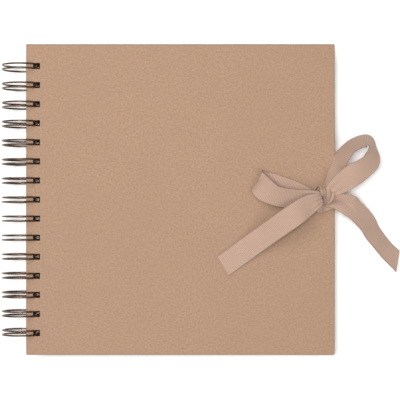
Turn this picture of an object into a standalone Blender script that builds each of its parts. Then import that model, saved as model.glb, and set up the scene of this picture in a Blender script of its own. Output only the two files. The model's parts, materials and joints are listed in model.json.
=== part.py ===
"""Wire-bound scrapbook album with a ribbon tie: two covered boards, twenty leaves, one
double-loop wire and a bow. Metres, +Z up.

The album is described in its own frame, flat and closed: x runs from the spine edge of
the covers to the fore edge, y along the spine, and z up from the axis of the wire rings.
One empty then lays it down as it rests, on the rings and on the back cover's fore edge.
"""
import math

import bmesh
import bpy
from mathutils import Matrix, Vector

# Covers and leaves.
COVER_WIDTH = 0.2055
COVER_LENGTH = 0.207
COVER_THICK = 0.0022
PAPER_THICK = 0.0002
GLUE_LINE = 0.00005
TURN_IN = 0.015
LINING_INSET = 0.003
LEAF_COUNT = 20
LEAF_WIDTH = 0.2025
LEAF_LENGTH = 0.203
LEAF_THICK = 0.0004
LEAF_PITCH = 0.000475
LEAF_SPINE_INSET = 0.0005
STACK_HALF = 0.0079

# Holes, one for each pair of wire loops.
HOLE_COUNT = 15
HOLE_PITCH = 0.0127
HOLE_WIDTH = 0.0051
HOLE_LENGTH = 0.0045
HOLE_CENTRE = 0.00695

# Double-loop wire.
WIRE_RADIUS = 0.0006
RING_RADIUS = 0.0127
RING_OFFSET = 0.0041
LOOP_SPACING = 0.0030
BASE_ANGLE = -24.2
TIP_ANGLE = -19.5
ARC_STEPS = 24
TIP_STEPS = 3

# Ribbon.
RIBBON_WIDTH = 0.015
RIBBON_THICK = 0.0004
RIBBON_Y = 0.0006
RIBBON_ANCHOR = 0.024
RIBBON_RECESS = 0.0006
FORE_GAP = 0.0005
RIBBON_GAP = 0.0003
ACROSS_SPINE = (0.0, 1.0, 0.0)

# The finished piece's middle, measured from the spine edge, so that the origin lies under it.
MIDDLE_X = 0.11878

KNOT_MIDDLE = (0.1978, 0.0015, 0.0148)
KNOT_CAGE = (0.0160, 0.0180, 0.0120)

# Stations along each stretch of the bow: a middle point, and the direction across the ribbon.
BOW = {
    "bow_loop_left": [
        ((0.1895, 0.0000, 0.0120), (0.20, 0.95, 0.10)),
        ((0.1810, 0.0030, 0.0100), (0.35, 0.92, 0.05)),
        ((0.1690, 0.0078, 0.0094), (0.42, 0.90, 0.00)),
        ((0.1590, 0.0113, 0.0098), (0.46, 0.88, 0.00)),
        ((0.1544, 0.0120, 0.0130), (0.47, 0.87, 0.03)),
        ((0.1574, 0.0077, 0.0168), (0.30, 0.93, 0.16)),
        ((0.1650, 0.0028, 0.0184), (0.14, 0.87, 0.46)),
        ((0.1770, 0.0006, 0.0180), (0.03, 0.82, 0.56)),
        ((0.1890, 0.0010, 0.0166), (0.00, 0.85, 0.50)),
    ],
    "bow_loop_right": [
        ((0.2067, 0.0160, 0.0112), (0.82, -0.34, 0.25)),
        ((0.2104, 0.0254, 0.0127), (0.72, -0.40, 0.38)),
        ((0.2140, 0.0323, 0.0119), (0.36, -0.52, 0.76)),
        ((0.2199, 0.0370, 0.0120), (0.20, -0.54, 0.81)),
        ((0.2256, 0.0389, 0.0120), (0.03, -0.58, 0.80)),
        ((0.2294, 0.0380, 0.0122), (-0.12, -0.48, 0.86)),
        ((0.2311, 0.0355, 0.0125), (-0.40, -0.26, 0.88)),
        ((0.2320, 0.0318, 0.0132), (-0.62, -0.02, 0.78)),
        ((0.2311, 0.0278, 0.0142), (-0.78, 0.14, 0.60)),
        ((0.2286, 0.0243, 0.0154), (-0.87, 0.27, 0.40)),
        ((0.2230, 0.0206, 0.0162), (-0.86, 0.46, 0.18)),
        ((0.2152, 0.0150, 0.0172), (-0.75, 0.64, 0.12)),
        ((0.2085, 0.0100, 0.0176), (-0.62, 0.76, 0.15)),
    ],
    "bow_tail_left": [
        ((0.1885, -0.0045, 0.0180), (0.35, -0.90, -0.30)),
        ((0.1790, -0.0095, 0.0212), (0.50, -0.84, -0.10)),
        ((0.1680, -0.0173, 0.0180), (0.56, -0.82, 0.00)),
        ((0.1540, -0.0275, 0.0118), (0.57, -0.81, 0.00)),
        ((0.1420, -0.0363, 0.0090), (0.56, -0.82, 0.00)),
        ((0.1312, -0.0442, 0.0085), (0.55, -0.83, 0.00)),
    ],
    "bow_tail_right": [
        ((0.2090, -0.0030, 0.0124), (-0.20, -0.96, -0.05)),
        ((0.2149, -0.0045, 0.0118), (-0.47, -0.86, 0.20)),
        ((0.2188, -0.0070, 0.0106), (-0.53, -0.73, 0.42)),
        ((0.2243, -0.0121, 0.0078), (-0.60, -0.64, 0.48)),
        ((0.2313, -0.0219, 0.0030), (-0.66, -0.47, 0.59)),
        ((0.2358, -0.0276, 0.0012), (-0.65, -0.41, 0.62)),
        ((0.2412, -0.0340, -0.0004), (-0.64, -0.44, 0.60)),
        ((0.2500, -0.0425, -0.0014), (-0.66, -0.52, 0.54)),
    ],
}

KRAFT = (0.50, 0.33, 0.22)
BOARD_GREY = (0.30, 0.26, 0.22)
BRONZE = (0.16, 0.12, 0.09)
ROSE = (0.58, 0.40, 0.31)


def clear_scene():
    for obj in list(bpy.data.objects):
        bpy.data.objects.remove(obj, do_unlink=True)


def new_collection(name):
    made = bpy.data.collections.new(name)
    bpy.context.scene.collection.children.link(made)
    return made


def new_material(name, colour, roughness, metallic=0.0):
    material = bpy.data.materials.new(name)
    material.use_nodes = True
    shader = material.node_tree.nodes["Principled BSDF"]
    shader.inputs["Base Color"].default_value = (*colour, 1.0)
    shader.inputs["Roughness"].default_value = roughness
    shader.inputs["Metallic"].default_value = metallic
    return material


def rest_tilt():
    """How far the flat album turns about the ring axis before its fore edge meets the table."""
    reach = math.hypot(RING_OFFSET + COVER_WIDTH, STACK_HALF)
    below = math.atan2(STACK_HALF, RING_OFFSET + COVER_WIDTH)
    return math.asin((RING_RADIUS + WIRE_RADIUS) / reach) - below


def add_album_empty(collection):
    """The album's own frame: its origin is on the ring axis, level with the spine edge's end."""
    empty = bpy.data.objects.new("album_frame", None)
    collection.objects.link(empty)
    empty.rotation_euler = (0.0, rest_tilt(), 0.0)
    empty.location = (-RING_OFFSET - MIDDLE_X, 0.0, RING_RADIUS + WIRE_RADIUS)
    return empty


def place(obj, collection, album, material):
    """Puts an object, whose x is measured from the spine edge, into the album's frame."""
    for user in list(obj.users_collection):
        user.objects.unlink(obj)
    collection.objects.link(obj)
    obj.parent = album
    obj.data.materials.clear()
    obj.data.materials.append(material)


def box(name, low, high):
    """A box between two corners, x measured from the spine edge."""
    bpy.ops.mesh.primitive_cube_add(size=1.0)
    obj = bpy.context.object
    obj.name = name
    low, high = Vector(low), Vector(high)
    middle = (low + high) / 2 + Vector((RING_OFFSET, 0.0, 0.0))
    obj.data.transform(Matrix.LocRotScale(middle, None, high - low))
    return obj


def cutter_box(name, low, high, cutters, album):
    obj = box(name, low, high)
    for user in list(obj.users_collection):
        user.objects.unlink(obj)
    cutters.objects.link(obj)
    obj.parent = album
    obj.hide_render = True
    obj.display_type = "WIRE"
    return obj


def cut(obj, *tools):
    for tool in tools:
        modifier = obj.modifiers.new(tool.name, "BOOLEAN")
        modifier.operation = "DIFFERENCE"
        modifier.object = tool


def hole_positions():
    """The middle of each hole along the spine."""
    return [(n - (HOLE_COUNT - 1) / 2) * HOLE_PITCH for n in range(HOLE_COUNT)]


def add_hole_punch(cutters, album):
    """A row of straight-sided pins, as one cutter, that punches every sheet."""
    mesh = bpy.data.meshes.new("hole_punch")
    shape = bmesh.new()
    for y in hole_positions():
        middle = Vector((RING_OFFSET + HOLE_CENTRE, y, 0.0))
        size = Vector((HOLE_WIDTH, HOLE_LENGTH, 4 * STACK_HALF))
        bmesh.ops.create_cube(shape, size=1.0, matrix=Matrix.LocRotScale(middle, None, size))
    shape.to_mesh(mesh)
    shape.free()
    punch = bpy.data.objects.new("hole_punch", mesh)
    cutters.objects.link(punch)
    punch.parent = album
    punch.hide_render = True
    punch.display_type = "WIRE"
    return punch


class Cover:
    """One covered board: side is 1 for the front cover and -1 for the back one."""

    def __init__(self, name, side, parts, cutters, album, punch):
        self.name = name
        self.side = side
        self.parts = parts
        self.cutters = cutters
        self.album = album
        self.punch = punch

    def box(self, name, inset, outer, inner, tool=False):
        """A slab inset from the cover's outline, between two depths below its outer face."""
        left, right = inset, COVER_WIDTH - inset
        half = COVER_LENGTH / 2 - inset
        levels = sorted(self.side * (STACK_HALF - depth) for depth in (outer, inner))
        low, high = (left, -half, levels[0]), (right, half, levels[1])
        if tool:
            return cutter_box(name, low, high, self.cutters, self.album)
        return box(name, low, high)

    def finish(self, obj, material, *tools):
        place(obj, self.parts, self.album, material)
        cut(obj, *tools, self.punch)

    def recess(self):
        """The shallow seat under the lining in which the ribbon's end is glued."""
        half = RIBBON_WIDTH / 2 + 0.0003
        top = COVER_THICK - PAPER_THICK - GLUE_LINE - RIBBON_RECESS
        levels = sorted(self.side * (STACK_HALF - depth) for depth in (top, COVER_THICK - PAPER_THICK))
        low = (COVER_WIDTH - RIBBON_ANCHOR - 0.0006, RIBBON_Y - half, levels[0])
        high = (COVER_WIDTH + 0.001, RIBBON_Y + half, levels[1])
        return cutter_box(self.name + "_recess", low, high, self.cutters, self.album)

    def build(self, kraft, grey):
        board_outer = PAPER_THICK + GLUE_LINE
        wrap_inner = COVER_THICK - PAPER_THICK - GLUE_LINE
        board_inner = wrap_inner - PAPER_THICK - 2 * GLUE_LINE
        recess = self.recess()
        cavity = self.box(
            self.name + "_cavity", PAPER_THICK, PAPER_THICK, wrap_inner - PAPER_THICK, tool=True
        )
        window = self.box(self.name + "_window", TURN_IN, board_outer, 2 * COVER_THICK, tool=True)
        wrap = self.box(self.name + "_kraft_wrap", 0.0, 0.0, wrap_inner)
        self.finish(wrap, kraft, cavity, window, recess)
        board = self.box(self.name + "_board", PAPER_THICK + GLUE_LINE, board_outer, board_inner)
        self.finish(board, grey, recess)
        lining = self.box(self.name + "_lining", LINING_INSET, COVER_THICK - PAPER_THICK, COVER_THICK)
        self.finish(lining, kraft)


def add_leaves(parts, album, punch, material):
    """Twenty loose leaves, the first under the front cover."""
    top = STACK_HALF - COVER_THICK - 0.0001
    left = LEAF_SPINE_INSET
    for n in range(LEAF_COUNT):
        high = top - n * LEAF_PITCH
        leaf = box(
            f"leaf_{n + 1:02d}",
            (left, -LEAF_LENGTH / 2, high - LEAF_THICK),
            (left + LEAF_WIDTH, LEAF_LENGTH / 2, high),
        )
        place(leaf, parts, album, material)
        cut(leaf, punch)


def ring_point(angle, y):
    """A point on the wire's centre line, the angle in degrees from +x towards +z."""
    turn = math.radians(angle)
    return Vector((RING_RADIUS * math.cos(turn), y, RING_RADIUS * math.sin(turn)))


def wire_points():
    """The centre line of one continuous wire: base, up a loop, round its tip and back, base."""
    points = []
    start, end = 360.0 + BASE_ANGLE, TIP_ANGLE
    tip_radius = LOOP_SPACING / 2
    tip_turn = math.degrees(tip_radius / RING_RADIUS)
    straight_end = end + tip_turn
    for y in hole_positions():
        arc = [start + (straight_end - start) * k / ARC_STEPS for k in range(ARC_STEPS + 1)]
        points += [ring_point(angle, y - tip_radius) for angle in arc]
        for k in range(1, TIP_STEPS):
            turn = math.pi * k / TIP_STEPS
            angle = straight_end - tip_turn * math.sin(turn)
            points.append(ring_point(angle, y - tip_radius * math.cos(turn)))
        points += [ring_point(angle, y + tip_radius) for angle in reversed(arc)]
    return points


def add_wire(parts, album, material):
    points = wire_points()
    data = bpy.data.curves.new("binding_wire", "CURVE")
    data.dimensions = "3D"
    data.bevel_depth = WIRE_RADIUS
    data.bevel_resolution = 1
    data.use_fill_caps = True
    spline = data.splines.new("POLY")
    spline.points.add(len(points) - 1)
    for control, point in zip(spline.points, points):
        control.co = (*point, 1.0)
    wire = bpy.data.objects.new("binding_wire", data)
    place(wire, parts, album, material)


def slopes(values, gaps):
    """The rate of change at each value, with the shorter neighbouring gap counting for more."""
    rates = [(after - before) / gap for before, after, gap in zip(values, values[1:], gaps)]
    middle = [
        (rates[k] * gaps[k + 1] + rates[k + 1] * gaps[k]) / (gaps[k] + gaps[k + 1])
        for k in range(len(rates) - 1)
    ]
    return [rates[0], *middle, rates[-1]]


def smooth_path(stations, steps):
    """A smooth run through the stations, each a middle point and a direction across."""
    tracks = [[Vector(station[k]) for station in stations] for k in (0, 1)]
    gaps = [(after - before).length for before, after in zip(tracks[0], tracks[0][1:])]
    rates = [slopes(track, gaps) for track in tracks]
    run = []
    for k, gap in enumerate(gaps):
        for n in range(steps):
            run.append([hermite(track[k : k + 2], rate[k : k + 2], gap, n / steps)
                        for track, rate in zip(tracks, rates)])
    run.append([track[-1] for track in tracks])
    return run


def hermite(ends, rates, gap, t):
    return (
        ends[0] * (2 * t**3 - 3 * t**2 + 1)
        + rates[0] * gap * (t**3 - 2 * t**2 + t)
        + ends[1] * (3 * t**2 - 2 * t**3)
        + rates[1] * gap * (t**3 - t**2)
    )


def ribbon(name, stations, steps, parts, album, material):
    """A strip of ribbon lofted across its stations, then given its thickness."""
    shape = bmesh.new()
    rows = []
    for middle, across in smooth_path(stations, steps):
        middle = middle + Vector((RING_OFFSET, 0.0, 0.0))
        half = across.normalized() * RIBBON_WIDTH / 2
        rows.append((shape.verts.new(middle - half), shape.verts.new(middle + half)))
    for (a, b), (c, d) in zip(rows, rows[1:]):
        shape.faces.new((a, b, d, c))
    mesh = bpy.data.meshes.new(name)
    shape.to_mesh(mesh)
    shape.free()
    strip = bpy.data.objects.new(name, mesh)
    place(strip, parts, album, material)
    solid = strip.modifiers.new("thickness", "SOLIDIFY")
    solid.thickness = RIBBON_THICK
    solid.offset = 0.0
    solid.use_even_offset = True
    return strip


def quarter_turn(x, z, gap, first, last):
    """Three stations on an arc round an edge at x and z, between two angles in degrees."""
    stations = []
    for angle in (first, (first + last) / 2, last):
        turn = math.radians(angle)
        middle = (x + gap * math.cos(turn), RIBBON_Y, z + gap * math.sin(turn))
        stations.append((middle, ACROSS_SPINE))
    return stations


def flat_stations(*places):
    """Stations at the ribbon's place along the spine, from pairs of x and z."""
    return [((x, RIBBON_Y, z), ACROSS_SPINE) for x, z in places]


def add_straps(parts, album, material):
    """The ribbons' stretches from their glued ends, round the fore edge, to the knot."""
    seat = STACK_HALF - COVER_THICK + PAPER_THICK + GLUE_LINE + RIBBON_RECESS
    inner = seat - RIBBON_THICK / 2 - 0.0002
    start = COVER_WIDTH - RIBBON_ANCHOR
    edge = COVER_WIDTH
    front = flat_stations((start, inner), (edge - 0.0045, inner), (edge - 0.0008, seat - FORE_GAP))
    front += quarter_turn(edge, seat, FORE_GAP, -90, 0)
    front += quarter_turn(edge, STACK_HALF, FORE_GAP, 0, 90)
    front += flat_stations((edge - 0.0040, STACK_HALF + FORE_GAP))
    ribbon("front_ribbon_strap", front, 2, parts, album, material)
    outside = FORE_GAP + RIBBON_THICK + RIBBON_GAP
    meet = STACK_HALF - COVER_THICK
    back = flat_stations((start, -inner), (edge - 0.0045, -inner), (edge - 0.0008, -inner + 0.0001))
    back += flat_stations((edge + outside - 0.0003, -inner + 0.0008), (edge + outside, -inner + 0.0022))
    back += flat_stations((edge + outside, 0.0), (edge + outside, meet - RIBBON_GAP))
    ribbon("back_ribbon_strap", back, 2, parts, album, material)
    upper = flat_stations((edge + outside, meet))
    upper += quarter_turn(edge, STACK_HALF, outside, 0, 90)
    upper += flat_stations((edge - 0.0040, STACK_HALF + outside))
    ribbon("back_ribbon_end", upper, 2, parts, album, material)


def add_knot(parts, album, material):
    """The bow's knot: a rounded, slightly flattened lump."""
    bpy.ops.mesh.primitive_cube_add(size=1.0)
    knot = bpy.context.object
    knot.name = "bow_knot"
    middle = Vector(KNOT_MIDDLE) + Vector((RING_OFFSET, 0.0, 0.0))
    knot.data.transform(Matrix.LocRotScale(middle, None, Vector(KNOT_CAGE)))
    place(knot, parts, album, material)
    round_off = knot.modifiers.new("round", "SUBSURF")
    round_off.levels = 2
    round_off.render_levels = 2


def add_bow(parts, album, material):
    add_knot(parts, album, material)
    for name, stations in BOW.items():
        ribbon(name, stations, 3, parts, album, material)


def main():
    clear_scene()
    parts = new_collection("scrapbook_album")
    cutters = new_collection("cutters")
    album = add_album_empty(parts)
    kraft = new_material("kraft_paper", KRAFT, 0.85)
    grey = new_material("grey_board", BOARD_GREY, 0.9)
    bronze = new_material("bronze_wire", BRONZE, 0.35, 1.0)
    rose = new_material("rose_ribbon", ROSE, 0.8)
    punch = add_hole_punch(cutters, album)
    Cover("front_cover", 1, parts, cutters, album, punch).build(kraft, grey)
    Cover("back_cover", -1, parts, cutters, album, punch).build(kraft, grey)
    add_leaves(parts, album, punch, kraft)
    add_wire(parts, album, bronze)
    add_straps(parts, album, rose)
    add_bow(parts, album, rose)


main()
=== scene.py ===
"""Looks for the wire-bound kraft scrapbook album: papers, wire and ribbon bow, in metres."""
import json
import math

import bmesh
import bpy
from mathutils import Matrix, Vector


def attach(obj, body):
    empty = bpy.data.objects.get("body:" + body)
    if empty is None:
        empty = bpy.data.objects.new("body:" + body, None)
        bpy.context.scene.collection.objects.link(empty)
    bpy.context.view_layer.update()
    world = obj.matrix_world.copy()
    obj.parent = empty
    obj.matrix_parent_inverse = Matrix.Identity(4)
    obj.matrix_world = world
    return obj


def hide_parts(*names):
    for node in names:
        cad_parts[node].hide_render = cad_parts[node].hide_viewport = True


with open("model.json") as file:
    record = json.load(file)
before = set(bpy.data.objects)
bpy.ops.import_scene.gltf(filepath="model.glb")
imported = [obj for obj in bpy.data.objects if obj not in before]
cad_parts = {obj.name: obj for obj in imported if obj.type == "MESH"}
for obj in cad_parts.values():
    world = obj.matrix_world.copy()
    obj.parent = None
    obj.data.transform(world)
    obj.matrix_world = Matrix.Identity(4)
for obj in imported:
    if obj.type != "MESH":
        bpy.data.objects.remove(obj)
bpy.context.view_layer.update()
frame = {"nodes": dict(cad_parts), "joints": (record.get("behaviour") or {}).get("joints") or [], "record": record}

# Sizes that part.py also holds, in the album's own frame: x from the spine edge to the fore
# edge, y along the spine, z up from the axis of the wire rings.
RING_OFFSET = 0.0041
COVER_WIDTH = 0.2055
COVER_LENGTH = 0.207
COVER_THICK = 0.0022
STACK_HALF = 0.0079
PAPER_THICK = 0.0002
GLUE_LINE = 0.00005
TURN_IN = 0.015
HOLE_COUNT = 15
HOLE_PITCH = 0.0127
HOLE_WIDTH = 0.0051
HOLE_LENGTH = 0.0045
HOLE_CENTRE = 0.00695
WIRE_RADIUS = 0.0006
RING_RADIUS = 0.0127
LOOP_SPACING = 0.0030
BASE_ANGLE = -24.2
TIP_ANGLE = -19.5
RIBBON_WIDTH = 0.015
RIBBON_THICK = 0.00035
RIBBON_Y = 0.0006
RIBBON_ANCHOR = 0.024
RIBBON_RECESS = 0.0006
SEAT_PLAY = 0.0003
FORE_GAP = 0.0005
OUTER_GAP = 0.0012

# The straps: how deep they lie in their seats, where they bend before the fore edge, how far
# back over the cover they run to the knot, and half the gap where the back one is parted.
SEAT_DROP = 0.0004
BEND_START = 0.0045
BEND_END = 0.0008
KNOT_FOOT = 0.0040
KNOT_REACH = 0.0085
PARTING = 0.0001

# The weave, and how far in from a folded paper edge the painted shade reaches.
RIB_PITCH = 0.0010
WARP_THREADS = 30.0
RIM_SHADE_REACH = 0.0008

# How the paper and the punch leave their edges.
WRAP_FOLD = 0.00045
BEND_PROFILE = ((0.0, 1.0), (0.08, 0.62), (0.29, 0.29), (0.62, 0.08), (1.0, 0.0))
FRONT_CORNERS = (0.0005, 0.0013, 0.0006, 0.0004)
BACK_CORNERS = (0.0005, 0.0008, 0.0006, 0.0005)
HOLE_CORNER = 0.0003
HOLE_LIP = 0.0002
WIRE_BEND = 0.0009

# Colours, linear.
COVER_KRAFT = (0.309, 0.194, 0.125)
LINING_KRAFT = (0.285, 0.177, 0.114)
LEAF_KRAFT = (0.300, 0.190, 0.123)
BOARD_DARK = (0.24, 0.20, 0.16)
BOARD_PALE = (0.37, 0.31, 0.25)
BRONZE_DARK = (0.122, 0.079, 0.055)
BRONZE_WORN = (0.223, 0.145, 0.102)
ROSE_GROOVE = (0.350, 0.224, 0.161)
ROSE_RIB = (0.492, 0.329, 0.247)
ROSE_WARP = (0.477, 0.340, 0.276)
ROSE_FADED = (0.365, 0.246, 0.187)
# Painted shade for the darkened edges of the ribbon.
ROSE_EDGE_SHADE = (0.195, 0.112, 0.077)

# The studio: each softbox's name, place, side and watts, then the room's glow and the floor.
SOFTBOXES = (
    ("key", (0.80, -0.90, 1.80), 1.2, 15.0),
    ("fill", (-0.60, 0.60, 1.20), 1.0, 11.0),
    ("top", (-0.10, 0.00, 1.40), 0.4, 14.0),
)
ROOM_GLOW = 0.16
FLOOR_SIZE = 6.0

# The view: how far the lens is from the front cover, and how wide it sees there.
CAMERA_HEIGHT = 0.95
FIELD = 0.2663
SENSOR = 36.0
VIEW_MIDDLE = (0.1158, -0.0003)
LENS_AXIS_Y = -0.0175

RING_AXIS = Vector(frame["joints"][0]["pos_m"])
COVER_NORMAL = Vector(
    next(m["axis"] for m in frame["record"]["mounts"] if m["name"] == "front_cover_face")
)
TILT = math.atan2(COVER_NORMAL.x, COVER_NORMAL.z)
ALBUM = (
    Matrix.Translation(RING_AXIS)
    @ Matrix.Rotation(TILT, 4, "Y")
    @ Matrix.Translation((RING_OFFSET, 0.0, 0.0))
)


# ---------------------------------------------------------------- stage


def add_camera():
    """A lens square to the front cover, with its axis a little below the cover's middle."""
    data = bpy.data.cameras.new("camera")
    data.sensor_width = SENSOR
    data.lens = CAMERA_HEIGHT * SENSOR / FIELD
    data.shift_y = (VIEW_MIDDLE[1] - LENS_AXIS_Y) / FIELD
    data.clip_start = 0.01
    camera = bpy.data.objects.new("camera", data)
    bpy.context.scene.collection.objects.link(camera)
    lens = Matrix.Translation((VIEW_MIDDLE[0], LENS_AXIS_Y, STACK_HALF + CAMERA_HEIGHT))
    camera.matrix_world = ALBUM @ lens
    bpy.context.scene.camera = camera


def add_area_light(name, place, size, power):
    """A square softbox aimed at the album."""
    data = bpy.data.lights.new(name, "AREA")
    data.shape = "SQUARE"
    data.size = size
    data.energy = power
    light = bpy.data.objects.new(name, data)
    bpy.context.scene.collection.objects.link(light)
    light.location = place
    light.rotation_euler = (-Vector(place)).to_track_quat("-Z", "Y").to_euler()


def add_stage():
    """A white floor under three softboxes, in a dim room."""
    world = bpy.data.worlds.new("studio")
    world.use_nodes = True
    sky = world.node_tree.nodes["Background"]
    sky.inputs["Color"].default_value = (1.0, 0.99, 0.98, 1.0)
    sky.inputs["Strength"].default_value = ROOM_GLOW
    bpy.context.scene.world = world
    bpy.context.scene.view_settings.view_transform = "Standard"
    for softbox in SOFTBOXES:
        add_area_light(*softbox)
    bpy.ops.mesh.primitive_plane_add(size=FLOOR_SIZE)
    floor = bpy.context.object
    floor.name = "floor"
    paint = Paint("floor_white", (0.985, 0.985, 0.985), 0.7)
    floor.data.materials.append(paint.material)


# ---------------------------------------------------------------- materials


class Paint:
    """A Principled material and short calls for the nodes that feed it."""

    def __init__(self, name, colour, roughness, metallic=0.0, sheen=0.0):
        self.material = bpy.data.materials.new(name)
        self.material.use_nodes = True
        self.tree = self.material.node_tree
        self.shader = self.tree.nodes["Principled BSDF"]
        self.shader.inputs["Base Color"].default_value = (*colour, 1.0)
        self.shader.inputs["Roughness"].default_value = roughness
        self.shader.inputs["Metallic"].default_value = metallic
        self.shader.inputs["Sheen Weight"].default_value = sheen

    def node(self, kind, **inputs):
        """A node whose inputs, named with underscores for spaces, take values or outputs."""
        made = self.tree.nodes.new(kind)
        for name, value in inputs.items():
            socket = made.inputs[name.replace("_", " ")]
            if hasattr(value, "is_output"):
                self.tree.links.new(value, socket)
            else:
                socket.default_value = value
        return made

    def place(self, scale=(1.0, 1.0, 1.0), turn=0.0):
        """Object coordinates in metres, stretched and turned about z."""
        coordinates = self.tree.nodes.new("ShaderNodeTexCoord")
        mapping = self.node("ShaderNodeMapping", Vector=coordinates.outputs["Object"])
        mapping.inputs["Scale"].default_value = scale
        mapping.inputs["Rotation"].default_value = (0.0, 0.0, math.radians(turn))
        return mapping.outputs["Vector"]

    def noise(self, vector, scale, detail=3.0, rough=0.55):
        made = self.node(
            "ShaderNodeTexNoise", Vector=vector, Scale=scale, Detail=detail, Roughness=rough
        )
        return made.outputs["Fac"]

    def level(self, value, low, high, out_low=0.0, out_high=1.0):
        """The value's range from low to high, stretched to the other one and held inside it."""
        made = self.node(
            "ShaderNodeMapRange",
            Value=value,
            From_Min=low,
            From_Max=high,
            To_Min=out_low,
            To_Max=out_high,
        )
        return made.outputs["Result"]

    def mix(self, factor, first, second):
        """From the first colour to the second as the factor goes from 0 to 1."""
        made = self.tree.nodes.new("ShaderNodeMix")
        made.data_type = "RGBA"
        colours = [socket for socket in made.inputs if socket.type == "RGBA"]
        self.tree.links.new(factor, made.inputs["Factor"])
        for socket, value in zip(colours, (first, second)):
            if hasattr(value, "is_output"):
                self.tree.links.new(value, socket)
            else:
                socket.default_value = (*value, 1.0)
        return next(socket for socket in made.outputs if socket.type == "RGBA")

    def maths(self, operation, first, second=0.0):
        made = self.tree.nodes.new("ShaderNodeMath")
        made.operation = operation
        for socket, value in zip(made.inputs, (first, second)):
            if hasattr(value, "is_output"):
                self.tree.links.new(value, socket)
            else:
                socket.default_value = value
        return made.outputs["Value"]

    def feed(self, socket, value):
        self.tree.links.new(value, self.shader.inputs[socket])

    def bump(self, height, strength, distance):
        """Raises the surface by up to the distance, in metres, where the height is 1."""
        made = self.node("ShaderNodeBump", Height=height, Strength=strength, Distance=distance)
        self.feed("Normal", made.outputs["Normal"])


def kraft_paint(name, colour, fleck=1.0, folded=False):
    """Uncoated kraft: fine mottling, pale and dark fibres, and painted shade on the folded rim."""
    paint = Paint(name, colour, 0.86)
    cloud = paint.level(paint.noise(paint.place(), 40.0, 4.0, 0.6), 0.3, 0.7)
    grain = paint.level(paint.noise(paint.place(), 760.0, 4.0, 0.62), 0.32, 0.68)
    base = paint.mix(paint.maths("MULTIPLY", grain, 0.8), tone(colour, 1.26), tone(colour, 0.83))
    base = paint.mix(paint.maths("MULTIPLY", cloud, 0.4), base, colour)
    height = grain
    # Four layers of fibres: the way they lie in degrees, how rare they are, their shade, and how
    # strongly they show.
    for turn, low, shade, weight in (
        (24.0, 0.63, 0.66, 0.45),
        (-51.0, 0.64, 0.72, 0.40),
        (78.0, 0.63, 1.25, 0.45),
        (-8.0, 0.65, 1.28, 0.40),
    ):
        fibre = paint.noise(paint.place((420.0, 2300.0, 2300.0), turn), 1.0, 2.0, 0.5)
        fibre = paint.level(fibre, low, low + 0.07)
        base = paint.mix(paint.maths("MULTIPLY", fibre, weight * fleck), base, tone(colour, shade))
        height = paint.maths("ADD", height, paint.maths("MULTIPLY", fibre, 0.5))
    speck = paint.level(paint.noise(paint.place(), 620.0, 1.0, 0.4), 0.76, 0.79)
    base = paint.mix(paint.maths("MULTIPLY", speck, 0.35 * fleck), base, tone(colour, 0.6))
    # Painted shade: with folded set, the rim is darkened in place of the shading of its rounded edge.
    if folded:
        base = paint.mix(paint.maths("MULTIPLY", rim_shade_mask(paint), 0.55), base, tone(colour, 0.45))
    paint.feed("Base Color", base)
    paint.feed("Roughness", paint.level(grain, 0.0, 1.0, 0.80, 0.93))
    paint.bump(height, 0.25, 0.0001)
    return paint.material


def tone(colour, factor):
    """A lighter or darker shade of a colour."""
    return tuple(min(1.0, channel * factor) for channel in colour)


def rim_shade_mask(paint):
    """The mask for the rim's painted shade: 1 on the folded rim of a cover, falling to 0 within a millimetre, in
    the album's frame.
    """
    coordinates = paint.tree.nodes.new("ShaderNodeTexCoord")
    split = paint.node("ShaderNodeSeparateXYZ", Vector=coordinates.outputs["Object"])
    beyond = []
    for axis, middle, half in (
        ("X", COVER_WIDTH / 2, COVER_WIDTH / 2),
        ("Y", 0.0, COVER_LENGTH / 2),
    ):
        away = paint.maths("ABSOLUTE", paint.maths("SUBTRACT", split.outputs[axis], middle))
        beyond.append(paint.level(away, half - RIM_SHADE_REACH, half))
    return paint.maths("MAXIMUM", *beyond)


def board_paint():
    """Grey board, with the layers that show at its cut edges."""
    paint = Paint("grey_board_paint", BOARD_PALE, 0.92)
    layers = paint.level(paint.noise(paint.place((300.0, 300.0, 5200.0)), 1.0, 3.0), 0.35, 0.65)
    paint.feed("Base Color", paint.mix(layers, BOARD_DARK, BOARD_PALE))
    paint.bump(layers, 0.4, 0.0001)
    return paint.material


def wire_paint():
    """Antique bronze coating: nearly black brown, worn a little lighter, with a soft gloss."""
    paint = Paint("antique_bronze", BRONZE_DARK, 0.36, metallic=0.9)
    worn = paint.level(paint.noise(paint.place(), 900.0, 4.0), 0.45, 0.75)
    paint.feed("Base Color", paint.mix(worn, BRONZE_DARK, BRONZE_WORN))
    paint.feed("Roughness", paint.level(worn, 0.0, 1.0, 0.27, 0.42))
    paint.bump(worn, 0.08, 0.00005)
    return paint.material


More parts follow.
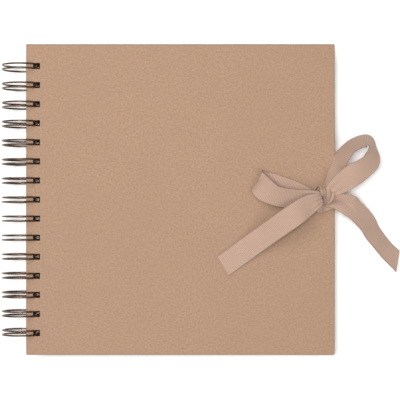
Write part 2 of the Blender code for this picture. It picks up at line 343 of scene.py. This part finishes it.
def ribbon_paint():
    """Grosgrain: ribs across the ribbon, fine warp threads along it, and painted shade along its edges."""
    paint = Paint("rose_grosgrain", ROSE_RIB, 0.78, sheen=0.08)
    paint.shader.inputs["Sheen Roughness"].default_value = 0.5
    uv = paint.tree.nodes.new("ShaderNodeUVMap")
    uv.uv_map = "ribbon"
    split = paint.node("ShaderNodeSeparateXYZ", Vector=uv.outputs["UV"])
    across, along = split.outputs["X"], split.outputs["Y"]
    rib = paint.maths("SINE", paint.maths("MULTIPLY", along, 2 * math.pi / RIB_PITCH))
    rib = paint.level(rib, -1.0, 1.0)
    warp = paint.maths("SINE", paint.maths("MULTIPLY", across, 2 * math.pi * WARP_THREADS))
    warp = paint.level(warp, -1.0, 1.0)
    patchy = paint.level(paint.noise(paint.place(), 140.0, 4.0), 0.3, 0.7)
    base = paint.mix(rib, ROSE_GROOVE, ROSE_RIB)
    base = paint.mix(paint.maths("MULTIPLY", warp, 0.22), base, ROSE_WARP)
    base = paint.mix(paint.maths("MULTIPLY", patchy, 0.25), base, ROSE_FADED)
    # Painted shade: both edges of the ribbon are darkened.
    rim = paint.maths("ABSOLUTE", paint.maths("SUBTRACT", across, 0.5))
    base = paint.mix(paint.level(rim, 0.455, 0.49, 0.0, 0.6), base, ROSE_EDGE_SHADE)
    paint.feed("Base Color", base)
    height = paint.maths("ADD", rib, paint.maths("MULTIPLY", warp, 0.25))
    paint.bump(height, 0.8, 0.0002)
    return paint.material


# ---------------------------------------------------------------- mesh helpers


def new_object(name, mesh, paint):
    """A smooth-shaded object whose mesh is in the album's own frame."""
    obj = bpy.data.objects.new(name, mesh)
    bpy.context.scene.collection.objects.link(obj)
    obj.matrix_world = ALBUM
    obj.data.materials.append(paint)
    obj.data.shade_smooth()
    return obj


def keep_modifiers(obj):
    """Replaces an object's mesh by what its modifiers make of it."""
    bpy.context.view_layer.update()
    graph = bpy.context.evaluated_depsgraph_get()
    made = bpy.data.meshes.new_from_object(obj.evaluated_get(graph))
    made.name = obj.name
    obj.modifiers.clear()
    obj.data = made
    return obj


def rounded_outline(low, high, radii, steps=6):
    """A rectangle's outline with a radius at each corner, from the lower left, going round."""
    points = []
    corners = ((low[0], low[1]), (high[0], low[1]), (high[0], high[1]), (low[0], high[1]))
    for k, ((x, y), radius) in enumerate(zip(corners, radii)):
        middle_x = x + radius if x == low[0] else x - radius
        middle_y = y + radius if y == low[1] else y - radius
        for n in range(steps + 1):
            turn = math.pi * (1.0 + k / 2) + math.pi / 2 * n / steps
            points.append((middle_x + radius * math.cos(turn), middle_y + radius * math.sin(turn)))
    return points


def slab(outline, levels):
    """A closed prism over an outline, from (z, inset) levels given bottom to top."""
    shape = bmesh.new()
    middle = Vector((sum(p[0] for p in outline), sum(p[1] for p in outline))) / len(outline)
    rings = []
    for z, inset in levels:
        ring = []
        for x, y in outline:
            away = Vector((x, y)) - middle
            pull = Vector((math.copysign(inset, away.x), math.copysign(inset, away.y)))
            ring.append(shape.verts.new((x - pull.x, y - pull.y, z)))
        rings.append(ring)
    count = len(outline)
    for low, high in zip(rings, rings[1:]):
        for k in range(count):
            shape.faces.new((low[k], low[(k + 1) % count], high[(k + 1) % count], high[k]))
    shape.faces.new(list(reversed(rings[0])))
    shape.faces.new(rings[-1])
    return shape


def to_mesh(shape, name):
    """A mesh from a bmesh, which is freed."""
    bmesh.ops.recalc_face_normals(shape, faces=shape.faces)
    mesh = bpy.data.meshes.new(name)
    shape.to_mesh(mesh)
    shape.free()
    return mesh


def hole_positions():
    """Where the holes are along the spine."""
    return [(n - (HOLE_COUNT - 1) / 2) * HOLE_PITCH for n in range(HOLE_COUNT)]


# ---------------------------------------------------------------- covers


def hole_punch(outer_face, side):
    """Square pins with slightly rounded corners, flared where they meet the outer face."""
    joined = bmesh.new()
    for y in hole_positions():
        low = (HOLE_CENTRE - HOLE_WIDTH / 2, y - HOLE_LENGTH / 2)
        high = (HOLE_CENTRE + HOLE_WIDTH / 2, y + HOLE_LENGTH / 2)
        outline = rounded_outline(low, high, (HOLE_CORNER,) * 4, 3)
        levels = (
            (outer_face - side * 2 * COVER_THICK, 0.0),
            (outer_face - side * HOLE_LIP, 0.0),
            (outer_face - side * HOLE_LIP * 0.35, -HOLE_LIP * 0.30),
            (outer_face, -HOLE_LIP),
            (outer_face + side * HOLE_LIP * 5, -HOLE_LIP * 3),
        )
        mesh = to_mesh(slab(outline, levels), "pin")
        joined.from_mesh(mesh)
        bpy.data.meshes.remove(mesh)
    return joined


def subtract(obj, shape, name):
    """Cuts a bmesh, in the album's frame, out of an object."""
    cutter = bpy.data.objects.new(name, to_mesh(shape, name))
    bpy.context.scene.collection.objects.link(cutter)
    cutter.matrix_world = ALBUM
    modifier = obj.modifiers.new(name, "BOOLEAN")
    modifier.operation = "DIFFERENCE"
    modifier.object = cutter
    keep_modifiers(obj)
    bpy.data.objects.remove(cutter)


def box_shape(low, high):
    """A box between two corners, given in any order."""
    shape = bmesh.new()
    size = Vector([abs(b - a) for a, b in zip(low, high)])
    middle = (Vector(high) + Vector(low)) / 2
    bmesh.ops.create_cube(shape, size=1.0, matrix=Matrix.LocRotScale(middle, None, size))
    return shape


def add_wrap(cover, body, side, corner_radii, paint):
    """A cover's kraft wrap: soft folded edges, corners and punched holes round a hollow."""
    half = COVER_LENGTH / 2
    wrap_depth = COVER_THICK - PAPER_THICK - GLUE_LINE
    outer = side * STACK_HALF
    inner = side * (STACK_HALF - wrap_depth)
    outline = rounded_outline((0.0, -half), (COVER_WIDTH, half), corner_radii)
    levels = [(outer - side * WRAP_FOLD * z, WRAP_FOLD * 0.8 * inset) for z, inset in BEND_PROFILE]
    levels += [
        (inner + side * WRAP_FOLD * 0.5 * z, WRAP_FOLD * 0.4 * inset) for z, inset in BEND_PROFILE
    ]
    wrap = new_object(cover + "_wrap", to_mesh(slab(outline, sorted(levels)), cover), paint)

    def cut(name, rim, x_end, y_middle, y_half, depths):
        """Takes out a box: x from the rim, y about its middle, z at depths under the outer face."""
        z_near, z_far = (side * (STACK_HALF - depth) for depth in depths)
        low = (rim, y_middle - y_half, z_near)
        subtract(wrap, box_shape(low, (x_end, y_middle + y_half, z_far)), name)

    board = (PAPER_THICK, wrap_depth - PAPER_THICK)
    cut("cavity", PAPER_THICK, COVER_WIDTH - PAPER_THICK, 0.0, half - PAPER_THICK, board)
    window = (PAPER_THICK + GLUE_LINE, 2 * COVER_THICK)
    cut("window", TURN_IN, COVER_WIDTH - TURN_IN, 0.0, half - TURN_IN, window)
    seat = (wrap_depth - RIBBON_RECESS, COVER_THICK)
    seat_half = RIBBON_WIDTH / 2 + SEAT_PLAY
    cut("seat", COVER_WIDTH - RIBBON_ANCHOR, COVER_WIDTH + 0.001, RIBBON_Y, seat_half, seat)
    subtract(wrap, hole_punch(outer, side), "holes")
    wrap.data.shade_smooth()
    wrap.data.set_sharp_from_angle(angle=math.radians(35))
    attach(wrap, body)
    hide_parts(cover + "_kraft_wrap")


# ---------------------------------------------------------------- wire


def unrolled_wire():
    """The wire's centre line on the unrolled rings: (y, distance round from the base)."""
    reach = RING_RADIUS * math.radians(360.0 + BASE_ANGLE - TIP_ANGLE)
    bend = WIRE_BEND
    tip = LOOP_SPACING / 2
    run = []
    for y in hole_positions():
        start = y - tip - bend
        for n in range(7):
            turn = math.pi / 2 * n / 6
            run.append((start + bend * math.sin(turn), bend * (1 - math.cos(turn))))
        legs = [bend + (reach - tip - bend) * n / 72 for n in range(1, 73)]
        run += [(y - tip, s) for s in legs]
        for n in range(1, 12):
            turn = math.pi * n / 12
            run.append((y - tip * math.cos(turn), reach - tip + tip * math.sin(turn)))
        run += [(y + tip, s) for s in reversed(legs)]
        for n in range(7):
            turn = math.pi / 2 * (1 - n / 6)
            run.append((y + tip + bend * (1 - math.sin(turn)), bend * (1 - math.cos(turn))))
    return run


def add_wire(paint):
    """One wire for the whole spine, rolled up into rings."""
    points = []
    for y, s in unrolled_wire():
        turn = math.radians(360.0 + BASE_ANGLE) - s / RING_RADIUS
        ring = Vector((RING_RADIUS * math.cos(turn) - RING_OFFSET, y, RING_RADIUS * math.sin(turn)))
        points.append(ring)
    data = bpy.data.curves.new("wire_line", "CURVE")
    data.dimensions = "3D"
    data.bevel_depth = WIRE_RADIUS
    data.bevel_resolution = 3
    data.use_fill_caps = True
    spline = data.splines.new("POLY")
    spline.points.add(len(points) - 1)
    for control, point in zip(spline.points, points):
        control.co = (*point, 1.0)
    line = bpy.data.objects.new("wire_line", data)
    bpy.context.scene.collection.objects.link(line)
    bpy.context.view_layer.update()
    graph = bpy.context.evaluated_depsgraph_get()
    mesh = bpy.data.meshes.new_from_object(line.evaluated_get(graph))
    bpy.data.objects.remove(line)
    shape = bmesh.new()
    shape.from_mesh(mesh)
    bmesh.ops.remove_doubles(shape, verts=shape.verts, dist=1e-6)
    shape.to_mesh(mesh)
    shape.free()
    mesh.materials.clear()
    wire = new_object("wire_loops", mesh, paint)
    wire.data.set_sharp_from_angle(angle=math.radians(60))
    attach(wire, "root")
    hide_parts("binding_wire")


# ---------------------------------------------------------------- ribbon


def slopes(values, gaps):
    """The rate of change at each value, with the shorter neighbouring gap counting for more."""
    rates = [(after - before) / gap for before, after, gap in zip(values, values[1:], gaps)]
    middle = [
        (rates[k] * gaps[k + 1] + rates[k + 1] * gaps[k]) / (gaps[k] + gaps[k + 1])
        for k in range(len(rates) - 1)
    ]
    return [rates[0], *middle, rates[-1]]


def hermite(ends, rates, gap, t):
    """A cubic between two values with the given rates at its ends."""
    return (
        ends[0] * (2 * t**3 - 3 * t**2 + 1)
        + rates[0] * gap * (t**3 - 2 * t**2 + t)
        + ends[1] * (3 * t**2 - 2 * t**3)
        + rates[1] * gap * (t**3 - t**2)
    )


def smooth_path(stations, steps):
    """A smooth run through stations of (middle, across, width, crown, pleat)."""
    full = [list(station) + [RIBBON_WIDTH, 0.0, 0.0][len(station) - 2 :] for station in stations]
    tracks = []
    for k in range(5):
        tracks.append([Vector(s[k]) if k < 2 else s[k] for s in full])
    gaps = [(after - before).length for before, after in zip(tracks[0], tracks[0][1:])]
    rates = [slopes(track, gaps) for track in tracks]
    run = []
    for k, gap in enumerate(gaps):
        for n in range(steps):
            run.append(
                [
                    hermite(track[k : k + 2], rate[k : k + 2], gap, n / steps)
                    for track, rate in zip(tracks, rates)
                ]
            )
    run.append([track[-1] for track in tracks])
    return run


def ribbon_rows(stations, steps, columns, pleats, crowd, cut):
    """Rows of (point, normal, (u, v)) across a ribbon, and its length along the middle."""
    run = smooth_path(stations, steps)
    rows = []
    length = 0.0
    for k, (middle, across, width, crown, pleat) in enumerate(run):
        before, after = run[max(k - 1, 0)][0], run[min(k + 1, len(run) - 1)][0]
        forward = (after - before).normalized()
        across = (across - forward * across.dot(forward)).normalized()
        normal = across.cross(forward)
        if k:
            length += (middle - run[k - 1][0]).length
        row = []
        for n in range(columns + 1):
            u = n / columns
            side = 2 * u - 1
            phase = pleats * (u + crowd * u * (1 - u))
            fold = 2 * abs(math.cos(math.pi * phase)) ** 0.8 - 1
            slant = cut * side * (k / (len(run) - 1)) ** 8
            point = middle + across * (side * width / 2) + forward * slant
            point += normal * (crown * (1 - side * side) + pleat * fold)
            row.append((point, normal, (u, length + slant)))
        rows.append(row)
    return rows, length


def strip_shape(stations, steps=10, columns=14, pleats=2.5, crowd=0.0, cut=0.0):
    """A closed strip of ribbon with UVs: u across from 0 to 1, v along in metres."""
    rows, length = ribbon_rows(stations, steps, columns, pleats, crowd, cut)
    shape = bmesh.new()
    uv = shape.loops.layers.uv.new("ribbon")
    half = RIBBON_THICK / 2
    top = [[shape.verts.new(point + normal * half) for point, normal, _ in row] for row in rows]
    bottom = [[shape.verts.new(point - normal * half) for point, normal, _ in row] for row in rows]
    spots = [[spot for _, _, spot in row] for row in rows]

    def face(*corners):
        """A face through (sheet, row, column) corners."""
        made = shape.faces.new([sheet[k][n] for sheet, k, n in corners])
        for loop, (_, k, n) in zip(made.loops, corners):
            loop[uv].uv = spots[k][n]

    last = len(rows) - 1
    for k in range(last):
        for n in range(columns):
            for sheet in (top, bottom):
                face((sheet, k, n), (sheet, k, n + 1), (sheet, k + 1, n + 1), (sheet, k + 1, n))
        for n in (0, columns):
            face((top, k, n), (bottom, k, n), (bottom, k + 1, n), (top, k + 1, n))
    for k in (0, last):
        for n in range(columns):
            face((top, k, n), (bottom, k, n), (bottom, k, n + 1), (top, k, n + 1))
    return shape, length


def finish_ribbon(name, shape, body, node, paint, crease=50.0):
    """The piece of ribbon that stands for a CAD node."""
    piece = new_object(name, to_mesh(shape, name), paint)
    piece.data.set_sharp_from_angle(angle=math.radians(crease))
    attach(piece, body)
    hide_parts(node)


# Stations along each stretch of the bow: a middle point and the direction across the ribbon,
# then its width, its crown and the depth of its pleats where the knot gathers it.
LEFT_LOOP = [
    ((0.1950, -0.0010, 0.0120), (0.10, 0.95, 0.10), 0.0080, 0.0, 0.0004),
    ((0.1895, 0.0010, 0.0112), (0.20, 0.95, 0.10), 0.0112, 0.0, 0.0003),
    ((0.1810, 0.0040, 0.0100), (0.35, 0.92, 0.05), 0.0142, 0.0, 0.0001),
    ((0.1690, 0.0082, 0.0094), (0.42, 0.90, 0.00)),
    ((0.1590, 0.0113, 0.0098), (0.46, 0.88, 0.00)),
    ((0.1544, 0.0120, 0.0130), (0.47, 0.87, 0.03)),
    ((0.1551, 0.0098, 0.0152), (0.38, 0.92, 0.08), 0.0156),
    ((0.1574, 0.0073, 0.0168), (0.27, 0.95, 0.16), 0.0160),
    ((0.1650, 0.0026, 0.0184), (0.12, 0.87, 0.46)),
    ((0.1765, 0.0006, 0.0180), (0.03, 0.82, 0.56)),
    ((0.1870, 0.0010, 0.0168), (0.00, 0.85, 0.50), 0.0120, 0.0, 0.0002),
    ((0.1950, 0.0015, 0.0150), (0.00, 0.90, 0.40), 0.0080, 0.0, 0.0004),
]
RIGHT_LOOP = [
    ((0.1985, 0.0045, 0.0120), (0.95, -0.25, 0.00), 0.0070, 0.0, 0.0004),
    ((0.2030, 0.0095, 0.0112), (0.88, -0.30, 0.10), 0.0105, 0.0, 0.0003),
    ((0.2067, 0.0160, 0.0106), (0.82, -0.34, 0.25), 0.0140),
    ((0.2080, 0.0242, 0.0124), (0.50, -0.44, 0.70)),
    ((0.2105, 0.0290, 0.0136), (0.32, -0.54, 0.74)),
    ((0.2141, 0.0335, 0.0128), (0.15, -0.54, 0.82)),
    ((0.2187, 0.0366, 0.0124), (0.04, -0.60, 0.80)),
    ((0.2239, 0.0386, 0.0123), (-0.06, -0.60, 0.80)),
    ((0.2273, 0.0386, 0.0124), (-0.08, -0.60, 0.80)),
    ((0.2292, 0.0370, 0.0127), (-0.17, -0.50, 0.85)),
    ((0.2302, 0.0348, 0.0130), (-0.33, -0.28, 0.90)),
    ((0.2306, 0.0321, 0.0134), (-0.52, -0.06, 0.85)),
    ((0.2303, 0.0286, 0.0140), (-0.71, 0.13, 0.69)),
    ((0.2290, 0.0251, 0.0150), (-0.72, 0.36, 0.59)),
    ((0.2239, 0.0204, 0.0160), (-0.64, 0.60, 0.48)),
    ((0.2155, 0.0152, 0.0168), (-0.62, 0.78, 0.10)),
    ((0.2075, 0.0094, 0.0168), (-0.62, 0.76, 0.15), 0.0128, 0.0, 0.0002),
    ((0.2010, 0.0045, 0.0152), (-0.50, 0.84, 0.20), 0.0080, 0.0, 0.0004),
]
LEFT_TAIL = [
    ((0.1965, 0.0005, 0.0150), (0.20, -0.95, -0.30), 0.0080, 0.0, 0.0005),
    ((0.1930, -0.0010, 0.0166), (0.28, -0.92, -0.30), 0.0108, 0.0, 0.0003),
    ((0.1885, -0.0032, 0.0176), (0.35, -0.90, -0.30), 0.0136, 0.0, 0.0001),
    ((0.1790, -0.0095, 0.0212), (0.50, -0.84, -0.10)),
    ((0.1680, -0.0173, 0.0180), (0.56, -0.82, 0.00)),
    ((0.1540, -0.0275, 0.0118), (0.57, -0.81, 0.00)),
    ((0.1420, -0.0363, 0.0090), (0.56, -0.82, 0.00)),
    ((0.1312, -0.0442, 0.0085), (0.55, -0.83, 0.00)),
]
RIGHT_TAIL = [
    ((0.1990, -0.0012, 0.0125), (-0.10, -0.97, -0.10), 0.0070, 0.0006, 0.0008),
    ((0.2050, -0.0010, 0.0132), (-0.15, -0.97, -0.10), 0.0100, 0.0004, 0.0014),
    ((0.2100, -0.0022, 0.0130), (-0.30, -0.94, 0.00), 0.0130, 0.0002, 0.0013),
    ((0.2149, -0.0042, 0.0120), (-0.47, -0.86, 0.20), 0.0148, 0.0000, 0.0007),
    ((0.2188, -0.0070, 0.0106), (-0.53, -0.73, 0.42)),
    ((0.2243, -0.0121, 0.0078), (-0.60, -0.64, 0.48)),
    ((0.2280, -0.0163, 0.0054), (-0.65, -0.55, 0.53)),
    ((0.2313, -0.0219, 0.0030), (-0.66, -0.47, 0.59)),
    ((0.2358, -0.0276, 0.0012), (-0.65, -0.41, 0.62)),
    ((0.2412, -0.0340, -0.0004), (-0.64, -0.44, 0.60)),
    ((0.2488, -0.0413, -0.0014), (-0.66, -0.52, 0.54)),
]
KNOT_BAND = [
    ((0.1972, -0.0030, 0.0094), (0.80, -0.60, 0.00), 0.0080, 0.0000, 0.0003),
    ((0.1978, 0.0010, 0.0090), (0.98, -0.10, 0.00), 0.0130, 0.0000, 0.0003),
    ((0.1986, 0.0060, 0.0095), (1.00, 0.00, 0.00), 0.0130, 0.0000, 0.0004),
    ((0.1988, 0.0086, 0.0128), (1.00, -0.10, 0.00), 0.0100, 0.0003, 0.0006),
    ((0.1994, 0.0072, 0.0166), (0.97, -0.20, -0.05), 0.0094, 0.0008, 0.0009),
    ((0.2001, 0.0042, 0.0187), (0.93, -0.36, -0.08), 0.0100, 0.0012, 0.0011),
    ((0.2000, 0.0010, 0.0186), (0.80, -0.58, -0.10), 0.0078, 0.0011, 0.0011),
    ((0.1992, -0.0016, 0.0166), (0.70, -0.70, -0.10), 0.0050, 0.0007, 0.0006),
    ((0.1984, -0.0036, 0.0132), (0.66, -0.75, -0.10), 0.0028, 0.0002, 0.0003),
    ((0.1980, -0.0044, 0.0100), (0.66, -0.75, 0.00), 0.0024, 0.0000, 0.0002),
]
KNOT_FAN = [
    ((0.2060, 0.0004, 0.0100), (0.05, 1.00, 0.00), 0.0128, 0.0000, 0.0000),
    ((0.2020, -0.0012, 0.0102), (0.05, 1.00, 0.05), 0.0118, 0.0000, 0.0001),
    ((0.1985, -0.0040, 0.0108), (0.10, 0.98, 0.12), 0.0088, 0.0004, 0.0003),
    ((0.1954, -0.0060, 0.0128), (0.40, 0.88, 0.30), 0.0062, 0.0007, 0.0005),
    ((0.1944, -0.0040, 0.0142), (0.80, 0.50, 0.20), 0.0050, 0.0004, 0.0005),
    ((0.1952, -0.0016, 0.0146), (0.95, 0.10, 0.00), 0.0032, 0.0000, 0.0003),
]


def quarter_turn(x, z, gap, first, last, steps=4):
    """Stations round an edge at (x, z), standing off it by a gap, between two angles."""
    stations = []
    for n in range(steps + 1):
        turn = math.radians(first + (last - first) * n / steps)
        middle = (x + gap * math.cos(turn), RIBBON_Y, z + gap * math.sin(turn))
        stations.append((middle, (0.0, 1.0, 0.0)))
    return stations


def flat_stations(*places):
    """Stations through (x, z) places."""
    return [((x, RIBBON_Y, z), (0.0, 1.0, 0.0)) for x, z in places]


def add_strap(name, stations, body, node, steps, paint):
    """A plain strip of ribbon, folded round the fore edge."""
    shape, length = strip_shape(stations, steps=steps)
    finish_ribbon(name, shape, body, node, paint)


def add_straps(paint):
    """The stretches from the glued ends, round the fore edge, to the knot."""
    edge = COVER_WIDTH
    start = edge - RIBBON_ANCHOR
    bend = edge - BEND_START
    turn = edge - BEND_END
    foot = edge - KNOT_FOOT
    knot = edge - KNOT_REACH
    outside = edge + OUTER_GAP
    seat = STACK_HALF - COVER_THICK + PAPER_THICK + GLUE_LINE + RIBBON_RECESS
    inner = seat - SEAT_DROP
    over = STACK_HALF + FORE_GAP
    parting = STACK_HALF - COVER_THICK
    front = flat_stations((start, inner), (bend, inner), (turn, seat - FORE_GAP))
    front += quarter_turn(edge, seat, FORE_GAP, -90, 0)
    front += quarter_turn(edge, STACK_HALF, FORE_GAP, 0, 90)
    front += flat_stations((foot, over), (knot, over + 0.0008))
    add_strap("front_strap", front, "front_cover", "front_ribbon_strap", 4, paint)
    back = flat_stations((start, -inner), (bend, -inner), (turn, -inner + 0.0001))
    back += flat_stations((outside - 0.0003, -inner + 0.0008), (outside, -inner + 0.0022))
    back += flat_stations((outside, 0.0), (outside, parting - PARTING))
    add_strap("back_strap", back, "root", "back_ribbon_strap", 6, paint)
    end = flat_stations((outside, parting + PARTING))
    end += quarter_turn(edge, STACK_HALF, OUTER_GAP, 0, 90)
    end += flat_stations((foot, STACK_HALF + OUTER_GAP), (knot, STACK_HALF + 0.0022))
    add_strap("back_strap_end", end, "front_cover", "back_ribbon_end", 4, paint)


def add_bow(paint):
    """Two loops, two tails, and a pleated band that wraps the knot and fans out under it."""
    for name, stations, pleats, cut in (
        ("loop_left", LEFT_LOOP, 3.0, 0.0),
        ("loop_right", RIGHT_LOOP, 2.5, 0.0),
        ("tail_left", LEFT_TAIL, 3.5, 0.0006),
        ("tail_right", RIGHT_TAIL, 1.0, 0.0034),
    ):
        shape, length = strip_shape(stations, columns=24, pleats=pleats, cut=cut)
        finish_ribbon(name, shape, "front_cover", "bow_" + name, paint)
    knot, band_length = strip_shape(KNOT_BAND, steps=12, columns=56, pleats=3.0, crowd=0.75)
    fan, fan_length = strip_shape(KNOT_FAN, columns=30, pleats=2.0)
    knot.from_mesh(to_mesh(fan, "fan"))
    finish_ribbon(
        "knot",
        knot,
        "front_cover",
        "bow_knot",
        paint,
        crease=60.0,
    )


# ---------------------------------------------------------------- assembly


def paint_nodes(kraft_lining, leaf, board):
    """The CAD nodes that stay: boards, linings and leaves."""
    for name, node in frame["nodes"].items():
        if name.endswith("_board"):
            node.material_slots[0].material = board
        elif name.endswith("_lining"):
            node.material_slots[0].material = kraft_lining
        elif name.startswith("leaf_"):
            node.material_slots[0].material = leaf


def main():
    add_camera()
    add_stage()
    lining_paint = kraft_paint("kraft_lining_paint", LINING_KRAFT)
    leaf_paint = kraft_paint("kraft_leaf_paint", LEAF_KRAFT, 0.8)
    paint_nodes(lining_paint, leaf_paint, board_paint())
    cover_paint = kraft_paint("kraft_cover_paint", COVER_KRAFT, 1.3, folded=True)
    add_wrap("front_cover", "front_cover", 1, FRONT_CORNERS, cover_paint)
    add_wrap("back_cover", "root", -1, BACK_CORNERS, cover_paint)
    add_wire(wire_paint())
    ribbon = ribbon_paint()
    add_straps(ribbon)
    add_bow(ribbon)


main()
